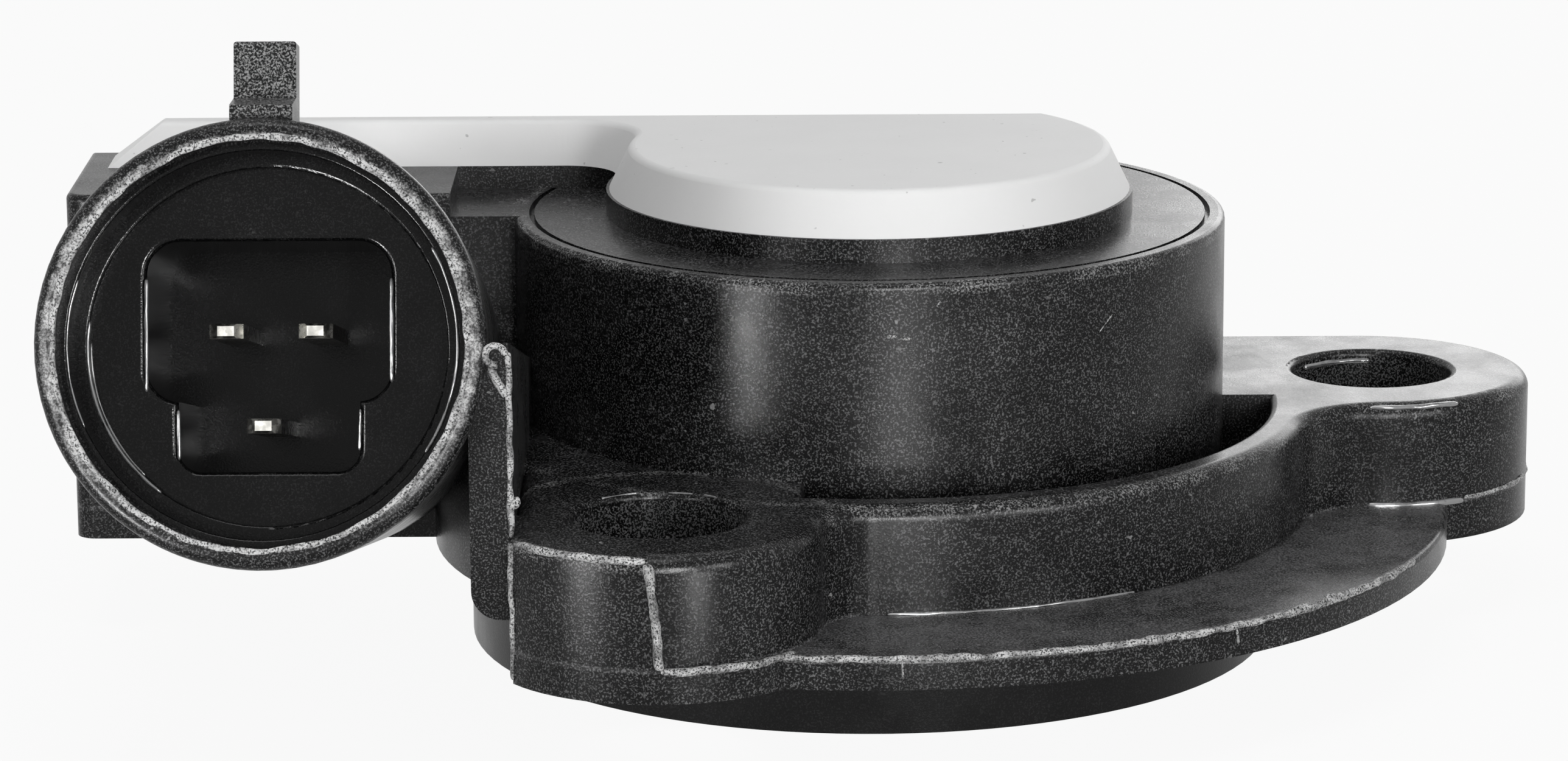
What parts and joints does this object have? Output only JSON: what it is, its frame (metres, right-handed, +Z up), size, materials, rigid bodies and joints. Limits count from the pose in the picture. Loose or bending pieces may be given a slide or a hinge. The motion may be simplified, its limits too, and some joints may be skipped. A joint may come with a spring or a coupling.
{
  "type": "throttle position sensor",
  "caption": "Rotary throttle position sensor: black moulded body with bolting ears, keyed round plug socket, grey cover and a sprung rotor with a drive slot underneath.",
  "frame": {"origin": "rotor's axis at the pilot's bottom face", "axes": "+Z up along the rotor's axis towards the cover, plug socket on the -X side with its mouth towards -Y"},
  "size_m": [0.0709, 0.0509, 0.0321],
  "materials": {
    "black_plastic": "satin",
    "grey_plastic": "matt",
    "terminal_metal": "tinned",
    "bearing_plastic": "satin",
    "seal_rubber": "matt",
    "rotor_plastic": "satin",
    "spring_steel": "bright",
    "contact_bronze": "bright",
    "card_laminate": "satin",
    "carbon_ink": "matt",
    "silver_ink": "matt",
    "solder": "bright"
  },
  "bodies": {
    "sensor_body": {"housing": "black_plastic", "cover": "grey_plastic", "terminal_supply": "terminal_metal", "terminal_signal": "terminal_metal", "terminal_ground": "terminal_metal", "bearing_plate": "bearing_plastic", "shaft_seal": "seal_rubber", "return_spring": "spring_steel", "element_card": "card_laminate", "resistive_track": "carbon_ink", "collector_track": "silver_ink", "solder_joints": "solder"},
    "rotor_body": {"rotor": "rotor_plastic", "wiper_contact": "contact_bronze", "thrust_washer": "spring_steel"}
  },
  "joints": [
    {"name": "rotor_turn", "type": "hinge", "parent": "sensor_body", "child": "rotor_body", "pos_m": [0, 0, 0], "axis": [0, 0, 1], "range_deg": [0, 100], "stiffness_Nm_per_rad": 0.004, "springref_deg": -85.94, "deforming": ["return_spring"]}
  ]
}
